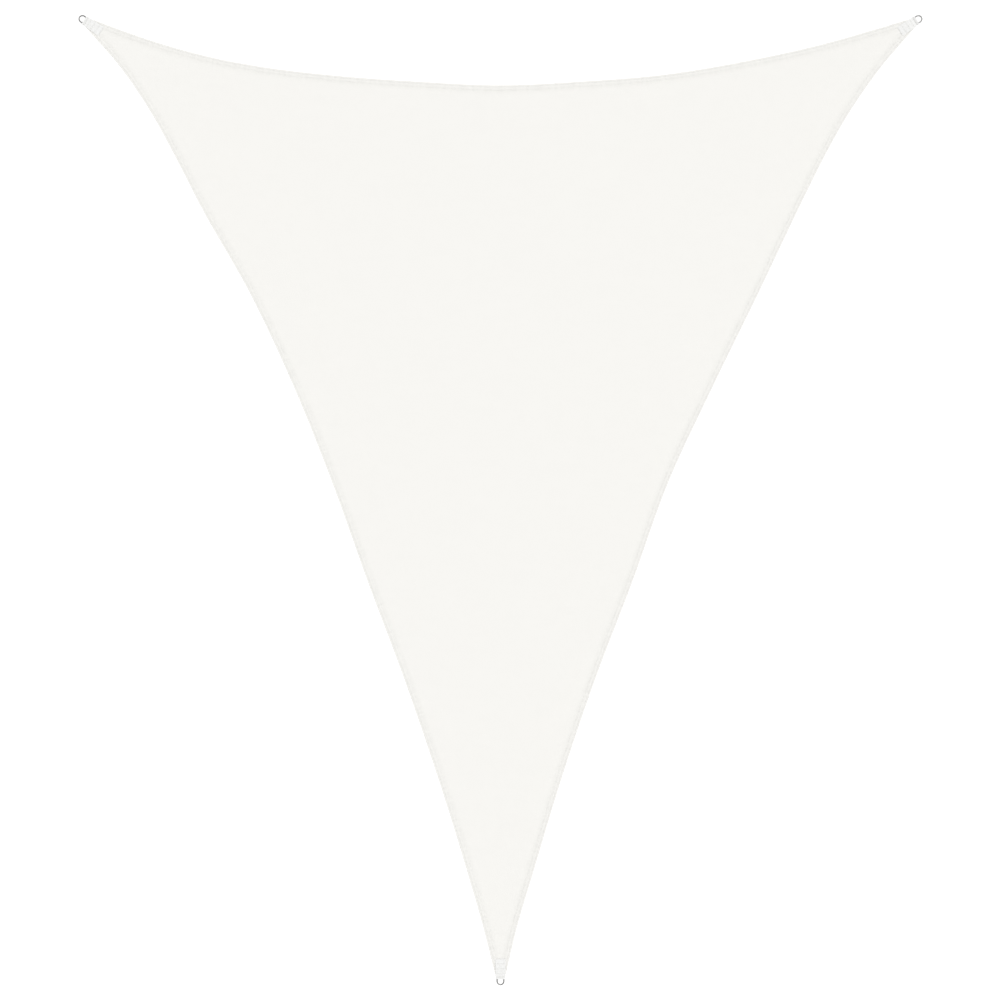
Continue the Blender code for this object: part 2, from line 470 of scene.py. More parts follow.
def inside_polygon(plan, polygon):
    """Which points lie inside a closed polygon."""
    inside = np.zeros(len(plan), dtype=bool)
    x, y = plan.T
    for (ax, ay), (bx, by) in zip(polygon, np.roll(polygon, -1, axis=0)):
        if ay == by:
            continue
        crosses = (ay > y) != (by > y)
        inside ^= crosses & (x < ax + (y - ay) * (bx - ax) / (by - ay))
    return inside


def make_cloth(material):
    """The cloth and its hem as one thin closed sheet.

    The map "cut" says where each point lies on the cloth as it was cut, so that the knit turns over
    with the hem. The map "edge" holds the count of stitches from the nearer corner and the distance in
    from the edge.
    """
    points, cut, edge = [], [], []
    for inside, height in HEM_PROFILE:
        plan, along, count, inward = hem_loop(inside)
        points.append(np.column_stack((plan, cloth_height(plan, along, inside, height))))
        cut.append(plan - 2 * inside * inward)
        edge.append(np.column_stack((count, np.full(len(count), inside))))
    around = len(points[0])
    rim_plan = points[-1][:, :2]
    extra_plan, extra_height, extra_edge = field_points()
    corners = [Vector(p) for p in np.vstack((rim_plan, extra_plan))]
    rim = [(k, (k + 1) % around) for k in range(around)]
    found = delaunay_2d_cdt(corners, rim, [], 1, SAME_POINT)
    assert len(found[0]) == len(corners), "the cloth's points met each other"
    first = (len(points) - 1) * around
    band = loft(len(points), around, False, True)
    field = [[first + k for k in triangle] for triangle in found[2]]
    underside = list(range(around))[::-1]
    everything = np.vstack((*points, np.column_stack((extra_plan, extra_height))))
    mesh = build_mesh("cloth", everything, [*band.tolist(), *field, underside])

    turned = np.vstack((*cut, extra_plan))
    corner_points = face_corners(mesh)
    on_band = (np.arange(len(corner_points)) < band.size)[:, None]
    flat = everything[:, :2][corner_points]
    write_uv(mesh, "cut", np.where(on_band, turned[corner_points], flat))
    write_uv(mesh, "edge", np.vstack((*edge, extra_edge))[corner_points])
    return link("sail_cloth", mesh, material)


# ================================================================ sewing


def sew(name, runs, material):
    """Stitches from hole to hole as one mesh. A run is a list of holes in world points.

    Each stitch comes up out of one hole, bows over the cloth and goes down in the next.
    """
    starts = np.vstack([run[:-1] for run in runs])
    ends = np.vstack([run[1:] for run in runs])
    ahead = ends - starts
    ahead /= np.linalg.norm(ahead, axis=1)[:, None]
    up = np.array((0.0, 0.0, 1.0))
    across = np.cross(ahead, up)
    across /= np.linalg.norm(across, axis=1)[:, None]
    over = np.cross(across, ahead)
    sections = len(THREAD_PLACES)
    turn = -2 * math.pi * np.arange(THREAD_SIDES) / THREAD_SIDES
    points = np.empty((len(starts), sections, THREAD_SIDES, 3))
    for k, (place, bow) in enumerate(zip(THREAD_PLACES, THREAD_BOW)):
        middle = starts * (1 - place) + ends * place + over * bow * THREAD_RADIUS
        for side in range(THREAD_SIDES):
            out = across * math.cos(turn[side]) + over * math.sin(turn[side])
            points[:, k, side] = middle + out * THREAD_RADIUS
    per_stitch = sections * THREAD_SIDES
    quads = loft(sections, THREAD_SIDES, False, True)
    first = np.arange(len(starts)) * per_stitch
    faces = (quads[None, :, :] + first[:, None, None]).reshape(-1, 4).tolist()
    for start in first.tolist():
        faces.append([start + k for k in range(THREAD_SIDES)][::-1])
        faces.append([start + per_stitch - THREAD_SIDES + k for k in range(THREAD_SIDES)])
    return link(name, build_mesh(name, points.reshape(-1, 3), faces), material)


def hem_holes(side, row, half_width):
    """The holes of one row of sewing along a side's hem, between the webbing at its two ends."""
    inner, outer = row + half_width, row - half_width
    trim = math.ceil(inner * max(side.trims) / side.pitch)
    hole = np.arange(trim, side.stitches - trim + 1)
    stations = hole * side.pitch
    inside = np.where(hole % 2, inner, outer)
    plan = side.at(stations, inside)
    profile = np.array(HEM_PROFILE)
    profile = profile[(profile[:, 1] > CLOTH_THICKNESS) & (np.gradient(profile[:, 0]) > 0)]
    height = np.interp(inside, profile[:, 0], profile[:, 1])
    height = height + lift(plan) + sewing_waves(plan) * HEM_PUCKER * pucker(stations)
    holes = np.column_stack((plan, height))
    return holes[~under_webbing(plan)]


def make_hem_sewing(material):
    """One joined mesh of stitches for each side."""
    sewn = []
    for (first, second, _, _), side in zip(SIDES, SAIL_SIDES):
        straight = hem_holes(side, STRAIGHT_ROW, 0.0)
        zigzag = hem_holes(side, ZIGZAG_ROW, ZIGZAG_HALF_WIDTH)
        sewn.append(sew(f"hem_sewing_{first}_{second}", [straight, zigzag], material))
    return sewn


# ================================================================ webbing and rings

# Points along the webbing's legs, closer together near the ring
LEG_SPACING = 0.0025
NEAR_SPACING = 0.0008
NEAR_LENGTH = 0.0140
LOOP_STEPS = 24
RIBBON_COLUMNS = 33
# The higher, the flatter the webbing's faces and the tighter its rounded edges
EDGE_POWER = 6
# Points this little above the lower leg's own height still belong to it
LOWER_LEG_MARGIN = 0.0002
PLEATS = 3.5
PLEAT_HEIGHT = 0.00060
PLEAT_END = 0.034
# The deepest pleat, as a share of half the webbing's thickness there
PLEAT_LIMIT = 1.2
# Its upper leg gets thinner towards its cut end, which is pressed down by the last row
END_THINNING = 0.80
END_LENGTH = 0.008
# The upper leg sinks from the hem onto the single cloth between these distances from the cloth's edge
SINK_START = HEM_WIDTH - 0.010
SINK_END = HEM_WIDTH + 0.004

# The upper leg wraps the bar this far past its top and is tacked down to the lower leg just behind it.
# It dips the more, the longer its way to the cloth's tip, and lies on the cloth a little past that tip.
WRAP = math.radians(44.0)
TACK_ROW = 0.0070
TACK_LENGTH = 0.0030
TACK_DIP = 0.129
TIP_CLIMB = 0.0040

# The upper half of the fold already spreads over the ring's arms, level with its top, and the upper leg
# goes on to its full width. Its edges bulge forward, at each corner about as far as in the photograph,
# and hang down beside the arms.
UPPER_HALF_WIDTHS = np.array(
    (
        # behind, half_width
        (-0.0036, 0.0120),
        (-0.0024, 0.0134),
        (-0.0010, 0.0158),
        (0.0006, 0.0183),
        (0.0024, 0.0205),
        (0.0045, 0.0219),
        (0.0070, 0.0229),
        (0.0120, 0.0236),
        (0.0200, 0.0240),
    )
)
BULGE_REACH = {"left": 0.0026, "right": 0.0034, "bottom": 0.0010}
BULGE_PEAK = 0.0045
BULGE_END = 0.0170
BULGE_INNER, BULGE_OUTER = 0.0108, 0.0185
BULGE_DROOP = 0.0024
LEVEL_INNER, LEVEL_OUTER = 0.0100, 0.0130

# The sewing on the webbing's upper leg: a tack row, then double rows across it that are joined by rows
# along its edges, with a cross between each two but the last two
CROSS_ROWS = (0.0235, 0.0465, 0.0705, 0.0910)
DOUBLE_ROW = 0.0022
SEWN_HALF_WIDTH = 0.0175
WEBBING_STITCH = 0.0038


def webbing_half_width(behind):
    """Half the webbing's width at a distance behind the bar, in its lower leg and round the bar."""
    return np.interp(behind, WEBBING_HALF_WIDTHS[:, 0], WEBBING_HALF_WIDTHS[:, 1])


def upper_half_width(behind):
    """Half the width of the webbing's upper leg at a distance behind the bar."""
    return np.interp(behind, UPPER_HALF_WIDTHS[:, 0], UPPER_HALF_WIDTHS[:, 1])


def upper_leg_height(corner, behind):
    """The height of the middle of the upper leg: over the bar, down to its tack, up onto the tip."""
    wrap_end = LOOP_RADIUS * math.sin(WRAP)
    over_bar = BAR_HEIGHT + np.sqrt(LOOP_RADIUS**2 - np.clip(behind, 0.0, wrap_end) ** 2)
    tip = CORNERS[corner][3]
    tacked = UPPER_LEG_HEIGHT - TACK_DIP * (tip - wrap_end)
    course = np.array(
        (
            # behind, height
            (wrap_end, BAR_HEIGHT + LOOP_RADIUS * math.cos(WRAP)),
            (TACK_ROW, tacked + GAP),
            (TACK_ROW + TACK_LENGTH, tacked),
            (tip + TIP_CLIMB, UPPER_LEG_HEIGHT),
            (WEBBING_REACH, UPPER_LEG_HEIGHT),
        )
    )
    return np.where(behind > wrap_end, smooth_through(course[:, 0], course[:, 1], behind), over_bar)


def webbing_path(corner):
    """The middle of the webbing seen from the side: lower leg, fold round the bar, upper leg.

    Gives the distance behind the bar and the height, and which points belong to the upper leg.
    """
    far = np.arange(WEBBING_REACH, NEAR_LENGTH, -LEG_SPACING)
    near = np.arange(NEAR_LENGTH, NEAR_SPACING, -NEAR_SPACING)
    leg = np.concatenate((far, near))
    turn = np.linspace(-0.5 * math.pi, -1.5 * math.pi - WRAP, LOOP_STEPS + 1)
    fold = np.column_stack((LOOP_RADIUS * np.cos(turn), BAR_HEIGHT + LOOP_RADIUS * np.sin(turn)))
    lower = np.column_stack((leg, np.full(len(leg), WEBBING_THICKNESS / 2)))
    past_wrap = leg[leg > LOOP_RADIUS * math.sin(WRAP) + NEAR_SPACING / 2][::-1]
    upper = np.column_stack((past_wrap, upper_leg_height(corner, past_wrap)))
    path = np.vstack((lower, fold, upper))
    is_upper = (np.arange(len(path)) >= len(lower)) & (path[:, 1] > BAR_HEIGHT)
    is_upper[len(lower) + len(fold) :] = True
    return path, is_upper


def thinning(behind):
    """The share of its thickness that the upper leg loses towards its cut end."""
    return END_THINNING * smooth_step(WEBBING_REACH - END_LENGTH, WEBBING_REACH, behind)


def upper_leg_sink(corner, behind, across):
    """How far the webbing's upper leg is sewn down between the two hems, onto the single cloth."""
    plan = corner_place(corner, behind, across, 0.0)[..., :2].reshape(-1, 2)
    inside = from_edge(plan).reshape(np.shape(across))
    room = np.minimum(inside, np.asarray(behind) - CORNERS[corner][3])
    depth = HEM_THICKNESS - CLOTH_THICKNESS
    sunk = depth * smooth_step(SINK_START, SINK_END, room)
    return sunk + (WEBBING_THICKNESS / 2) * thinning(behind)


def bulge(corner, behind, across):
    """How far the upper leg's edges bulge forward over the ring's arms, and how far they hang down."""
    rising = smooth_step(UPPER_HALF_WIDTHS[0, 0], BULGE_PEAK, behind)
    falling = 1 - smooth_step(BULGE_PEAK, BULGE_END, behind)
    forward = rising * falling * smooth_step(BULGE_INNER, BULGE_OUTER, np.abs(across))
    arm_side = BOW_RADIUS + WIRE_RADIUS
    past_arm = np.maximum(np.abs(across) - arm_side, 0.0) / (WEBBING_HALF_WIDTHS[-1, 1] - arm_side)
    return BULGE_REACH[corner] * forward, BULGE_DROOP * past_arm**2 * falling


def make_webbing(corner, material):
    """A woven band of changing width along its path, with rounded edges and small pleats at the ring.

    The map "ribbon" lies along the band, and the map "place" holds the distances across it and behind
    the ring's bar.
    """
    path, is_upper = webbing_path(corner)
    ahead = np.gradient(path, axis=0)
    ahead /= np.hypot(*ahead.T)[:, None]
    out = np.column_stack((-ahead[:, 1], ahead[:, 0]))
    share = np.sin(np.linspace(-0.5, 0.5, RIBBON_COLUMNS) * math.pi)
    half_thickness = WEBBING_THICKNESS / 2 * (1 - np.abs(share) ** EDGE_POWER) ** 0.5
    half_width = np.where(is_upper, upper_half_width(path[:, 0]), webbing_half_width(path[:, 0]))
    across = half_width[:, None] * share
    half_thickness = half_thickness * (1 - is_upper[:, None] * thinning(path[:, :1]))
    pleat = PLEAT_HEIGHT * (1 - smooth_step(0.0, PLEAT_END, path[:, 0]))[:, None]
    pleat = pleat * (0.5 - 0.5 * np.cos(math.pi * PLEATS * (share + 1)))
    lower = ~is_upper & (path[:, 1] < BAR_HEIGHT - LOOP_RADIUS + LOWER_LEG_MARGIN)
    pleat[lower] = 0.0
    pleat = np.minimum(pleat, PLEAT_LIMIT * half_thickness)

    forward, droop = bulge(corner, path[:, :1] + 0 * across, across)
    middle = np.where(is_upper[:, None], path[:, :1] - forward, path[:, :1])
    sink = np.where(is_upper[:, None], upper_leg_sink(corner, middle, across) + droop, 0.0)
    level = np.where(path[:, :1] < 0, smooth_step(LEVEL_INNER, LEVEL_OUTER, np.abs(across)), 1.0)
    top = upper_leg_height(corner, middle)
    height = np.where(is_upper[:, None], top * level + path[:, 1:] * (1 - level), path[:, 1:])

    surfaces = []
    for away in (half_thickness - pleat, -half_thickness):
        surfaces.append(
            corner_place(corner, middle + out[:, :1] * away, across, height + out[:, 1:] * away - sink)
        )
    ring = np.concatenate((surfaces[0], surfaces[1][:, -2:0:-1]), axis=1)
    rows, columns = ring.shape[:2]
    faces = loft(rows, columns, False, True).tolist()
    faces.append(list(range(columns))[::-1])
    faces.append(list(range((rows - 1) * columns, rows * columns)))
    mesh = build_mesh(f"webbing_{corner}", ring.reshape(-1, 3), faces)

    steps = np.hypot(*np.diff(path, axis=0).T)
    along = np.concatenate(((0.0,), np.cumsum(steps)))
    corner_points = face_corners(mesh)
    flat = share * WEBBING_HALF_WIDTHS[-1, 1]
    flat = np.concatenate((flat, flat[-2:0:-1]))[None, :]
    for name, distance in (("ribbon", along), ("place", path[:, 0])):
        uv = np.stack(np.broadcast_arrays(flat, distance[:, None]), axis=-1).reshape(-1, 2)
        write_uv(mesh, name, uv[corner_points])
    return link(f"woven_webbing_{corner}", mesh, material)


def webbing_holes(corner, start, end):
    """The holes of a straight run of sewing on the webbing's upper leg."""
    start, end = np.array(start), np.array(end)
    count = max(round(float(np.hypot(*(end - start))) / WEBBING_STITCH), 1)
    share = np.linspace(0.0, 1.0, count + 1)[:, None]
    behind, across = (start * (1 - share) + end * share).T
    middle = upper_leg_height(corner, behind) - upper_leg_sink(corner, behind, across)
    return corner_place(corner, behind, across, middle + WEBBING_THICKNESS / 2)


def make_webbing_sewing(corner, material):
    """The rows and crosses that hold the webbing to the cloth's corner."""
    half = SEWN_HALF_WIDTH
    near, far = CROSS_ROWS[0], CROSS_ROWS[-1]
    lines = [((near, half * side), (far, half * side)) for side in (-1, 1)]
    for row in (TACK_ROW, *CROSS_ROWS):
        lines += [((row + gap, -half), (row + gap, half)) for gap in (0.0, DOUBLE_ROW)]
    for start, end in zip(CROSS_ROWS[:-2], CROSS_ROWS[1:]):
        lines += [((start, half * side), (end, -half * side)) for side in (-1, 1)]
    runs = [webbing_holes(corner, *line) for line in lines]
    return sew(f"webbing_sewing_{corner}", runs, material)


# Points along the wire and round it, and the low bead of the weld at the middle of the bar
BOW_STEPS = 72
BEND_STEPS = 8
BAR_STEPS = 12
WIRE_SIDES = 24
WELD_HEIGHT = 0.00016
WELD_LENGTH = 0.0018
# Points this near to the bar's line lie on it
ON_BAR = 1e-6


def ring_path():
    """The middle of the ring's wire in its own plane: bow, arms, bent corners and bar."""
    turn = np.radians(np.linspace(-90.0, 90.0, BOW_STEPS + 1))
    parts = [np.column_stack((ARM_LENGTH + BOW_RADIUS * np.cos(turn), BOW_RADIUS * np.sin(turn)))]
    arm = BOW_RADIUS - BEND_RADIUS
    for side, first in ((1, 90.0), (-1, 180.0)):
        turn = np.radians(np.linspace(first, first + 90.0, BEND_STEPS + 1))
        bend = np.column_stack(
            (BEND_RADIUS * (1 + np.cos(turn)), side * arm + BEND_RADIUS * np.sin(turn))
        )
        parts.append(bend)
        if side == 1:
            straight = np.linspace(arm, -arm, BAR_STEPS + 1)[1:-1]
            parts.append(np.column_stack((np.zeros(len(straight)), straight)))
    return np.vstack(parts)


def make_ring(corner, material):
    """The wire ring, its bar in the webbing's fold and its bow leaning down onto the surface."""
    path = ring_path()
    ahead = np.roll(path, -1, axis=0) - np.roll(path, 1, axis=0)
    ahead /= np.hypot(*ahead.T)[:, None]
    out = np.column_stack((ahead[:, 1], -ahead[:, 0]))
    on_bar = np.abs(path[:, 0]) < ON_BAR
    weld = np.where(on_bar, WELD_HEIGHT * np.exp(-((path[:, 1] / WELD_LENGTH) ** 2)), 0.0)
    turn = -2 * math.pi * np.arange(WIRE_SIDES) / WIRE_SIDES
    radius = (WIRE_RADIUS + weld)[:, None]
    x = path[:, :1] + out[:, :1] * radius * np.cos(turn)
    y = path[:, 1:] + out[:, 1:] * radius * np.cos(turn)
    z = radius * np.sin(turn)
    lean_cos, lean_sin = math.cos(RING_LEAN), math.sin(RING_LEAN)
    along = x * lean_cos + z * lean_sin
    height = BAR_HEIGHT - x * lean_sin + z * lean_cos
    points = corner_place(corner, -along, y, height)
    rows, columns = x.shape
    mesh = build_mesh(f"ring_{corner}", points.reshape(-1, 3), loft(rows, columns, True, True).tolist())
    steps = np.hypot(*(np.roll(path, -1, axis=0) - path).T)
    length = np.concatenate(((0.0,), np.cumsum(steps)))
    corner_points = face_corners(mesh)
    row, column = np.divmod(corner_points, columns)
    girth = 2 * math.pi * WIRE_RADIUS
    uv = np.column_stack((length[row], column / columns * girth))
    quad = uv.reshape(-1, 4, 2)
    quad[:, :, 0] += np.where(quad[:, :, 0] < quad[:, :1, 0] - length[-1] / 2, length[-1], 0.0)
    quad[:, :, 1] += np.where(np.ptp(quad[:, :, 1], axis=1)[:, None] > girth / 2, 1.0, 0.0) * (
        np.where(quad[:, :, 1] < girth / 2, girth, 0.0)
    )
    write_uv(mesh, "wire", quad.reshape(-1, 2))
    return link(f"steel_ring_{corner}", mesh, material)


# ================================================================ materials


class Paint:
    """A material with one Principled shader, and short ways to add nodes in front of it."""

    def __init__(self, name, **shader_values):
        self.material = bpy.data.materials.new(name)
        self.material.use_nodes = True
        self.tree = self.material.node_tree
        self.shader = self.tree.nodes["Principled BSDF"]
        for key, value in shader_values.items():
            self.shader.inputs[key.replace("_", " ")].default_value = value

    def node(self, kind, inputs=(), **settings):
        """A new node, with its settings made and its inputs put in."""
        made = self.tree.nodes.new(kind)
        for key, value in settings.items():
            setattr(made, key, value)
        for key, value in dict(inputs).items():
            self.put(value, made.inputs[key])
        return made

    def put(self, value, socket):
        """Links a socket, or sets a number or colour."""
        if isinstance(value, bpy.types.NodeSocket):
            self.tree.links.new(value, socket)
        else:
            socket.default_value = value

    def math(self, operation, *values):
        """A sum, a product or another operation on numbers."""
        made = self.node("ShaderNodeMath", operation=operation)
        for k, value in enumerate(values):
            self.put(value, made.inputs[k])
        return made.outputs[0]

    def rise(self, value, low, high, to_low=0.0, to_high=1.0):
        """A smooth change from one value to another while the input goes from low to high."""
        ranges = {"Value": value, "From Min": low, "From Max": high, "To Min": to_low, "To Max": to_high}
        made = self.node("ShaderNodeMapRange", ranges, interpolation_type="SMOOTHSTEP")
        return made.outputs["Result"]

    def uv(self, name):
        """The two numbers of a UV map."""
        source = self.node("ShaderNodeUVMap", uv_map=name)
        split = self.node("ShaderNodeSeparateXYZ", {"Vector": source.outputs["UV"]})
        return split.outputs["X"], split.outputs["Y"]

    def vector(self, x, y):
        """A place from two numbers."""
        return self.node("ShaderNodeCombineXYZ", {"X": x, "Y": y}).outputs["Vector"]

    def noise(self, vector, scale, detail=1.0):
        """Soft noise from 0 to 1."""
        inputs = {"Vector": vector, "Scale": scale, "Detail": detail, "Roughness": 0.5}
        return self.node("ShaderNodeTexNoise", inputs).outputs["Fac"]

    def colour(self, low, high, factor):
        """A colour between two, by a factor."""
        mix = self.node("ShaderNodeMix", data_type="RGBA")
        self.put(factor, mix.inputs["Factor"])
        mix.inputs["A"].default_value = (*low, 1.0)
        mix.inputs["B"].default_value = (*high, 1.0)
        return mix.outputs["Result"]

    def tint(self, colour, factor):
        """A colour made darker by a factor."""
        scaled = self.node("ShaderNodeVectorMath", operation="SCALE")
        self.put(colour, scaled.inputs[0])
        self.put(factor, scaled.inputs["Scale"])
        return scaled.outputs["Vector"]

    def finish(self, colour, height, depth):
        """Puts a colour and the bumps of a height into the shader, and gives the material."""
        self.put(colour, self.shader.inputs["Base Color"])
        bump = self.node("ShaderNodeBump", {"Height": height, "Distance": depth, "Strength": 1.0})
        self.put(bump.outputs["Normal"], self.shader.inputs["Normal"])
        return self.material


# The knit: how deep it is, the painted shade of its openings, where the floor shows through in the
# cloth's shadow, and the shape of its chains and tapes, with their half widths as shares of the chains'
# pitch. Yarn gets painted shade below a set height, and a chain is lower by LOOP_HEIGHT between its
# slanting loops.
KNIT_DEPTH = 0.0006
OPENING_SHADE = 0.885
YARN_UNSHADED_HEIGHT = 0.60
LOOP_SLANT = 1.3
LOOP_HEIGHT = 0.40
CHAIN_HALF_WIDTH = 0.29
TAPE_HALF_WIDTH = 0.44
TAPE_HEIGHT = 0.72
# The yarns wander a little, and each is a bundle of flat fibres
WANDER_SCALE = 55.0
WANDER = 0.0011
FIBRE_SCALE = 1100.0
FIBRE_HEIGHT = 0.16
# Faint streaks along X, with cells of noise for each metre along it and across it
STREAK_TONE = 0.012
STREAKS_ALONG, STREAKS_ACROSS = 5.0, 46.0
TAPE_COLOUR = (0.920, 0.910, 0.877)

# The hem band is darker, and painted shade of the hem fades out over the cloth next to it between these
# distances in
HEM_TONE_AND_SHADE = 0.985
HEM_TONE_START = 0.028
HEM_TONE_END = 0.047
# The sewing gathers the cloth into short ridges across the edge, with painted shade in their hollows
GATHER_DEPTH = 0.0016
GATHER_HOLLOW_SHADE = 0.02
GATHERS_PER_STITCH = 0.5
GATHERS_PER_METRE_IN = 16.0
GATHER_LOW, GATHER_HIGH = 0.35, 0.65
# Each row of sewing gets painted shade of its stitch grooves, deepest in the hollows of the gathers; the
# shade spreads over these widths, and its darkest and lightest tones follow
SEAM_CORE, SEAM_WIDTH = 0.0003, 0.0032
STRAIGHT_SEAM_SHADES = (0.89, 0.955)
ZIGZAG_SEAM_SHADES = (0.96, 1.0)


def ridge(paint, away, half_width):
    """A rounded ridge: 1 on its line, and 0 from half its width away."""
    share = paint.math("DIVIDE", away, half_width)
    squared = paint.math("MULTIPLY", share, share)
    return paint.math("MAXIMUM", paint.math("SUBTRACT", 1.0, squared), 0.0)


def knit(paint):
    """The height of a warp knit, 0 in its openings: chains of loops along X, and tapes between them."""
    x, y = paint.uv("cut")
    flat = paint.vector(x, y)
    wander = paint.math("MULTIPLY_ADD", paint.noise(flat, WANDER_SCALE), WANDER, y)
    along = paint.math("DIVIDE", x, LOOP_PITCH)
    across = paint.math("DIVIDE", wander, CHAIN_PITCH)
    from_chain = paint.math("ABSOLUTE", paint.math("SUBTRACT", paint.math("FRACT", across), 0.5))
    slanted = paint.math("MULTIPLY_ADD", from_chain, LOOP_SLANT, paint.math("MULTIPLY", along, 2.0))
    loop = paint.math("ABSOLUTE", paint.math("SINE", paint.math("MULTIPLY", slanted, math.pi)))
    loop = paint.math("MULTIPLY_ADD", loop, LOOP_HEIGHT, 1.0 - LOOP_HEIGHT)
    chain = paint.math("MULTIPLY", ridge(paint, from_chain, CHAIN_HALF_WIDTH), loop)
    shifted = paint.math("ADD", across, 0.5)
    odd = paint.math("FLOORED_MODULO", paint.math("FLOOR", shifted), 2.0)
    swing = paint.math("MULTIPLY_ADD", odd, 0.5, along)
    swing = paint.math("MULTIPLY", paint.math("PINGPONG", swing, 0.5), 2.0)
    from_tape = paint.math("ABSOLUTE", paint.math("SUBTRACT", paint.math("FRACT", shifted), swing))
    tape = paint.math("MULTIPLY", ridge(paint, from_tape, TAPE_HALF_WIDTH), TAPE_HEIGHT)
    yarn = paint.math("MAXIMUM", chain, tape)
    fibre = paint.noise(flat, FIBRE_SCALE)
    fibre = paint.math("MULTIPLY_ADD", fibre, FIBRE_HEIGHT, 1.0 - FIBRE_HEIGHT)
    return paint.math("MULTIPLY", yarn, fibre)


def cloth_material():
    """White knitted shade cloth, gathered and denser where the hem is sewn, with painted shade in its
    openings, in the gathers' hollows, along the rows of sewing and beside the hem.
    """
    paint = Paint("knitted_cloth", Roughness=0.85, Specular_IOR_Level=0.25, Sheen_Weight=0.05)
    weave = knit(paint)
    x, y = paint.uv("cut")
    streak_place = paint.vector(
        paint.math("MULTIPLY", x, STREAKS_ALONG),
        paint.math("MULTIPLY", y, STREAKS_ACROSS),
    )
    streaks = paint.noise(streak_place, 1.0, 2.0)
    tone = paint.math("MULTIPLY_ADD", streaks, STREAK_TONE, 1.0 - STREAK_TONE / 2)
    # Painted shade in the knit's openings and on its low yarn
    tone = paint.math("MULTIPLY", tone, paint.rise(weave, 0.0, YARN_UNSHADED_HEIGHT, OPENING_SHADE, 1.0))

    stitch, inside = paint.uv("edge")
    # The hem band's darker tone, and painted shade of the hem fading out beside it
    tone = paint.math("MULTIPLY", tone, paint.rise(inside, HEM_TONE_START, HEM_TONE_END, HEM_TONE_AND_SHADE, 1.0))
    gather_place = paint.vector(
        paint.math("MULTIPLY", stitch, GATHERS_PER_STITCH),
        paint.math("MULTIPLY", inside, GATHERS_PER_METRE_IN),
    )
    gather = paint.noise(gather_place, 1.0)
    fade = paint.rise(inside, HEM_TONE_START, HEM_TONE_END, 1.0, 0.0)
    # Painted shade in the hollows of the gathers
    shaded_hollow = paint.math("MULTIPLY", paint.rise(gather, GATHER_LOW, GATHER_HIGH, 1.0, 0.0), fade)
    tone = paint.math("MULTIPLY", tone, paint.math("MULTIPLY_ADD", shaded_hollow, -GATHER_HOLLOW_SHADE, 1.0))
    swing = paint.math("PINGPONG", stitch, 1.0)
    zigzag = paint.math("MULTIPLY_ADD", swing, 2 * ZIGZAG_HALF_WIDTH, ZIGZAG_ROW - ZIGZAG_HALF_WIDTH)
    # Painted shade of the stitch grooves along each row of sewing, deepest in the gathers' hollows
    for row, (darkest, lightest) in ((STRAIGHT_ROW, STRAIGHT_SEAM_SHADES), (zigzag, ZIGZAG_SEAM_SHADES)):
        away = paint.math("ABSOLUTE", paint.math("SUBTRACT", inside, row))
        seam_shade = paint.rise(gather, GATHER_LOW, GATHER_HIGH, darkest, lightest)
        tone = paint.math("MULTIPLY", tone, paint.rise(away, SEAM_CORE, SEAM_WIDTH, seam_shade, 1.0))
    height = paint.math("MULTIPLY", weave, KNIT_DEPTH)
    height = paint.math("MULTIPLY_ADD", paint.math("MULTIPLY", gather, fade), GATHER_DEPTH, height)
    return paint.finish(paint.tint(TAPE_COLOUR, tone), height, 1.0)


WEBBING_COLOUR_LOW = (0.82, 0.82, 0.81)
WEBBING_COLOUR_HIGH = (0.90, 0.90, 0.89)
# Slanted ribs that turn back in chevrons, with finer yarns along the webbing
RIB_PITCH = 0.0016
RIB_DEPTH = 0.00022
RIB_HEIGHT = 0.4
YARN_PITCH = RIB_PITCH * 0.6
YARN_HEIGHT = 0.2
CHEVRON_WIDTH = 0.0120
# Painted shade along the webbing's rows of sewing, deeper at the tack row behind the bar
WEBBING_SEAM_SHADE = 0.955
TACK_ROW_SHADE = 0.91
WEBBING_SEAM_CORE, WEBBING_SEAM_WIDTH = 0.0010, 0.0050


def webbing_material():
    """White woven webbing in a herringbone of fine ribs, with painted shade along its rows of sewing."""
    paint = Paint("woven_webbing", Roughness=0.62, Specular_IOR_Level=0.35, Sheen_Weight=0.05)
    across, along = paint.uv("ribbon")
    slope = paint.math("PINGPONG", across, CHEVRON_WIDTH / 2)
    phase = paint.math("DIVIDE", paint.math("ADD", along, slope), RIB_PITCH)
    rib = paint.math("SINE", paint.math("MULTIPLY", phase, 2 * math.pi))
    yarn = paint.math("SINE", paint.math("MULTIPLY", across, 2 * math.pi / YARN_PITCH))
    height = paint.math("MULTIPLY_ADD", rib, RIB_HEIGHT, 0.5)
    height = paint.math("MULTIPLY_ADD", yarn, YARN_HEIGHT, height)
    colour = paint.colour(WEBBING_COLOUR_LOW, WEBBING_COLOUR_HIGH, height)
    _, behind = paint.uv("place")
    # Painted shade along each row of sewing but the last
    tone = 1.0
    for row in (TACK_ROW, *CROSS_ROWS[:-1]):
        away = paint.math("ABSOLUTE", paint.math("SUBTRACT", behind, row + DOUBLE_ROW / 2))
        seam_shade = TACK_ROW_SHADE if row == TACK_ROW else WEBBING_SEAM_SHADE
        seam_shade = paint.rise(away, WEBBING_SEAM_CORE, WEBBING_SEAM_WIDTH, seam_shade, 1.0)
        tone = paint.math("MULTIPLY", seam_shade, tone)
    return paint.finish(paint.tint(colour, tone), height, RIB_DEPTH)


# The thread's colour is greyer than its own white, as painted shade along the stitches
THREAD_SHADED_LOW = (0.82, 0.82, 0.80)
THREAD_SHADED_HIGH = (0.93, 0.93, 0.90)
STRAND_SCALE = 1400.0
STRAND_DEPTH = 0.0001


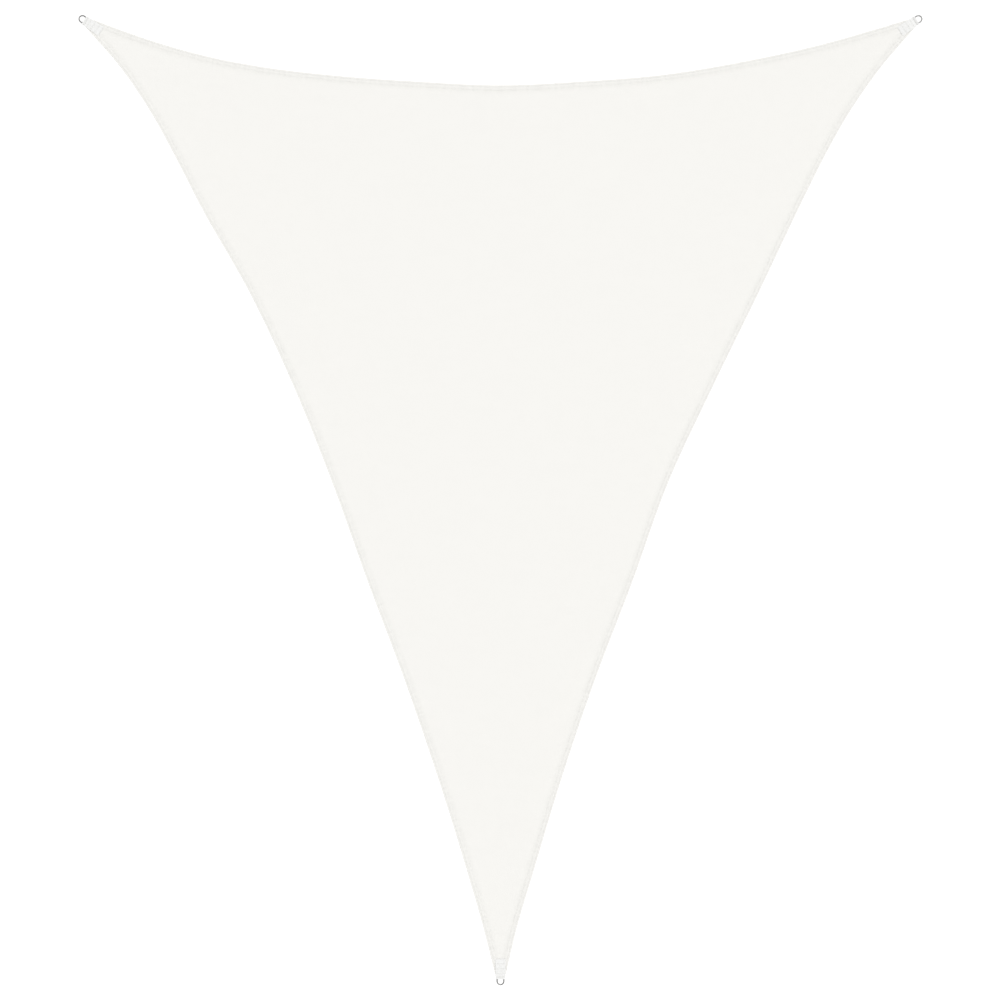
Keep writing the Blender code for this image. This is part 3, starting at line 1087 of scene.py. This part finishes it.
def thread_material():
    """White twisted polyester thread, greyed as painted shade along the stitches."""
    paint = Paint("sewing_thread", Roughness=0.50, Specular_IOR_Level=0.4)
    place = paint.node("ShaderNodeTexCoord").outputs["Object"]
    strands = paint.noise(place, STRAND_SCALE)
    colour = paint.colour(THREAD_SHADED_LOW, THREAD_SHADED_HIGH, strands)
    return paint.finish(colour, strands, STRAND_DEPTH)


# The steel's colour is darker than bright stainless, as a painted reflection of dark surroundings
STEEL_PAINTED_DARK_LOW = (0.19, 0.19, 0.185)
STEEL_PAINTED_DARK_HIGH = (0.31, 0.31, 0.30)
# Fine lines along the wire, with cells of noise for each metre along it and around it
LINES_ALONG, LINES_AROUND = 90.0, 5200.0
LINE_DEPTH = 0.00002
LINE_LOW, LINE_HIGH = 0.3, 0.7
STEEL_ROUGHNESS_LOW, STEEL_ROUGHNESS_HIGH = 0.15, 0.26


def steel_material():
    """Drawn stainless wire with a painted dark reflection: fine lines along it and slightly uneven
    gloss.
    """
    paint = Paint("drawn_steel", Metallic=1.0)
    along, around = paint.uv("wire")
    lines = paint.vector(
        paint.math("MULTIPLY", along, LINES_ALONG),
        paint.math("MULTIPLY", around, LINES_AROUND),
    )
    fine = paint.noise(lines, 1.0, 3.0)
    # Painted dark reflection in the steel's colour
    colour = paint.colour(STEEL_PAINTED_DARK_LOW, STEEL_PAINTED_DARK_HIGH, fine)
    roughness = paint.rise(fine, LINE_LOW, LINE_HIGH, STEEL_ROUGHNESS_LOW, STEEL_ROUGHNESS_HIGH)
    paint.put(roughness, paint.shader.inputs["Roughness"])
    return paint.finish(colour, fine, LINE_DEPTH)


# ================================================================ stage, light and camera

FLOOR_SIZE = 240.0
FLOOR_DROP = 0.0001
FLOOR_COLOUR = (0.97, 0.97, 0.97, 1.0)
# A faint light of its own makes the floor as white as the photograph's background
FLOOR_GLOW = 0.24
WHITE = (1.0, 1.0, 1.0, 1.0)
WORLD_LIGHT = 0.84
KEY_STRENGTH = 0.90
KEY_ANGLE = math.radians(35.0)
KEY_FROM = (0.28, 0.14, 1.0)


def make_floor():
    """A pale level floor just under the sail."""
    plane = bmesh.new()
    bmesh.ops.create_grid(plane, x_segments=1, y_segments=1, size=FLOOR_SIZE / 2)
    mesh = bpy.data.meshes.new("floor")
    plane.to_mesh(mesh)
    plane.free()
    paint = Paint("pale_floor", Roughness=1.0, Specular_IOR_Level=0.0)
    paint.put(FLOOR_COLOUR, paint.shader.inputs["Base Color"])
    paint.put(WHITE, paint.shader.inputs["Emission Color"])
    paint.put(FLOOR_GLOW, paint.shader.inputs["Emission Strength"])
    floor = link("floor", mesh, paint.material)
    floor.location.z = -FLOOR_DROP


def light_scene():
    """An even white studio, with a broad soft light a little from the upper right."""
    world = bpy.data.worlds.new("studio")
    world.use_nodes = True
    background = world.node_tree.nodes["Background"]
    background.inputs["Color"].default_value = WHITE
    background.inputs["Strength"].default_value = WORLD_LIGHT
    bpy.context.scene.world = world
    key = bpy.data.lights.new("soft_key", "SUN")
    key.energy = KEY_STRENGTH
    key.angle = KEY_ANGLE
    lamp = bpy.data.objects.new("soft_key", key)
    lamp.rotation_mode = "QUATERNION"
    lamp.rotation_quaternion = Vector(KEY_FROM).to_track_quat("Z", "Y")
    bpy.context.scene.collection.objects.link(lamp)


def place_camera():
    """A long lens straight above the sail, so that the frame is the photograph's."""
    camera = bpy.data.cameras.new("camera")
    camera.sensor_width = SENSOR_WIDTH
    camera.lens = SENSOR_WIDTH * CAMERA_HEIGHT / (METRES_PER_PIXEL * PHOTO_SIZE)
    obj = bpy.data.objects.new("camera", camera)
    half_pixel = METRES_PER_PIXEL / 2
    x, y = PHOTO_MIDDLE
    obj.location = (x - half_pixel, y + half_pixel, CAMERA_HEIGHT)
    bpy.context.scene.collection.objects.link(obj)
    bpy.context.scene.camera = obj
    bpy.context.scene.view_settings.view_transform = "Standard"


# ================================================================ the whole

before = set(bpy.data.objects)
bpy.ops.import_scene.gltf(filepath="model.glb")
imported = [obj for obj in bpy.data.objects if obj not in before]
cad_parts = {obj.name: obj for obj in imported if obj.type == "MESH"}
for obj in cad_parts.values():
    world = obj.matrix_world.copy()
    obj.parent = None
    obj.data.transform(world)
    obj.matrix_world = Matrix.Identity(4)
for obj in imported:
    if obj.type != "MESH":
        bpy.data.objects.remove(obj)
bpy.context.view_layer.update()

thread = thread_material()
steel = steel_material()
webbing = webbing_material()

cloth = make_cloth(cloth_material())
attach(cloth, "root")
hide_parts("sail")

hem_sewing = make_hem_sewing(thread)
for piece in hem_sewing:
    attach(piece, "root")

for corner in CORNERS:
    band = make_webbing(corner, webbing)
    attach(band, "root")
    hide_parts(f"webbing_{corner}")
    tacks = make_webbing_sewing(corner, thread)
    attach(tacks, "root")
    ring = make_ring(corner, steel)
    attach(ring, "root")
    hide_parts(f"ring_{corner}")

outline = hem_loop(0.0)[0]

make_floor()
light_scene()
place_camera()
